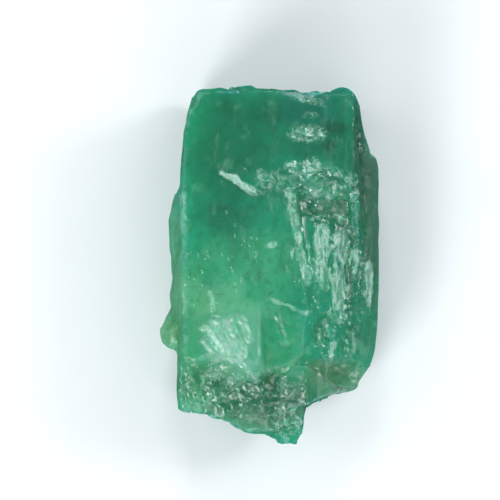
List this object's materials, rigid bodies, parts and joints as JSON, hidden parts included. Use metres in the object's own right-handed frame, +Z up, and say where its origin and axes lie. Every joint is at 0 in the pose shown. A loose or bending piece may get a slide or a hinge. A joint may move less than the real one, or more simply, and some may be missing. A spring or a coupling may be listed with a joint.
{
  "type": "raw emerald crystal",
  "caption": "Raw emerald: a broken green beryl prism with striated columns and shelly breaks, lying on a flat prism face; a loose mineral specimen.",
  "frame": {"origin": "under the middle of the crystal's box, on the surface it rests on", "axes": "+Y along the crystal's long axis towards its squarer end, +Z up out of its best face, +X to the right seen from above"},
  "size_m": [0.0088, 0.0144, 0.0065],
  "materials": {
    "emerald": "cloudy green beryl, glossy on its prism faces and sparkling on its breaks"
  },
  "bodies": {
    "root": {"emerald_crystal": "emerald"}
  },
  "joints": []
}
